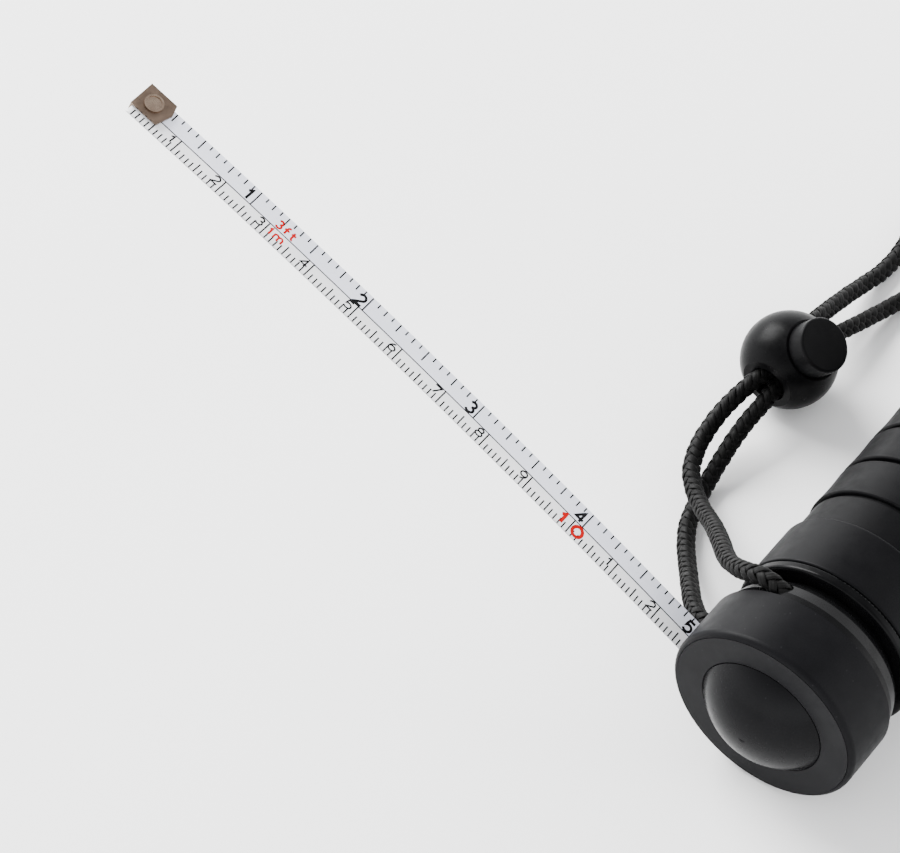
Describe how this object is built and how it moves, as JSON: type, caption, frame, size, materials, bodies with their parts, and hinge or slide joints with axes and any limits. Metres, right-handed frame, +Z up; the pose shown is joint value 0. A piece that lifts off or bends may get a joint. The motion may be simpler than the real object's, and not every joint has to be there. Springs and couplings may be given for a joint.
{
  "type": "retractable tape measure",
  "caption": "Steel tape measure that retracts into the end cap of a round ribbed handle, with a braided wrist lanyard and a ball cord lock.",
  "frame": {"origin": "centre of the handle's flat far end", "axes": "+Y along the handle and out of its flat end, +Z up, the tape leaves towards -X"},
  "size_m": [0.1505, 0.1592, 0.0744],
  "materials": {
    "shell_plastic": "fine satin moulded",
    "cover_plastic": "fine satin moulded",
    "liner_plastic": "matt",
    "button_plastic": "satin",
    "pad_rubber": "matt",
    "spool_plastic": "satin",
    "tape_white": "white enamel on spring steel",
    "bright_steel": "bright",
    "spring_steel": "blued",
    "neck_plastic": "gloss",
    "sleeve_plastic": "satin",
    "tube_metal": "anodised",
    "grip_rubber": "satin",
    "seal_rubber": "matt",
    "hook_nickel": "brushed nickel",
    "cord_fabric": "braided polyester",
    "lock_plastic": "satin moulded"
  },
  "bodies": {
    "root": {"cap_shell": "shell_plastic", "front_cover": "cover_plastic", "mouth_liner": "liner_plastic", "guide_washer": "bright_steel", "axle": "bright_steel", "spring_cover": "bright_steel", "neck": "neck_plastic", "barrel_sleeve": "sleeve_plastic", "handle_tube": "tube_metal", "grip": "grip_rubber", "end_plug": "shell_plastic", "plug_seal": "seal_rubber", "lanyard": "cord_fabric", "lock_body": "lock_plastic", "lock_spring": "bright_steel", "button_spring": "bright_steel"},
    "tape": {"tape_blade": "tape_white", "hook": "hook_nickel", "hook_rivet": "hook_nickel"},
    "spool": {"spool": "spool_plastic", "spool_flange": "spool_plastic", "tape_coil": "tape_white", "drive_spring": "spring_steel"},
    "button": {"button": "button_plastic", "brake_pad": "pad_rubber"},
    "plunger": {"lock_plunger": "lock_plastic"}
  },
  "joints": [
    {"name": "tape_pull", "type": "slide", "parent": "root", "child": "tape", "axis": [-0.8932, 0, 0.4496], "range_m": [-0.1215, 0.85], "deforming": ["tape_blade"]},
    {"name": "spool_spin", "type": "hinge", "parent": "root", "child": "spool", "pos_m": [0, -0.105, 0], "axis": [0, 1, 0], "continuous": true, "deforming": ["drive_spring"]},
    {"name": "button_press", "type": "slide", "parent": "root", "child": "button", "axis": [0, 1, 0], "range_m": [0, 0.0008], "stiffness_N_per_m": 600, "springref_m": -0.001, "deforming": ["button_spring"]},
    {"name": "lock_press", "type": "slide", "parent": "root", "child": "plunger", "axis": [-0.6293, 0, -0.7771], "range_m": [0, 0.002], "stiffness_N_per_m": 400, "springref_m": -0.002, "deforming": ["lock_spring"]}
  ],
  "couplings": [
    {"joint": "spool_spin", "follows": "tape_pull", "rad_per_m": 99.8}
  ]
}
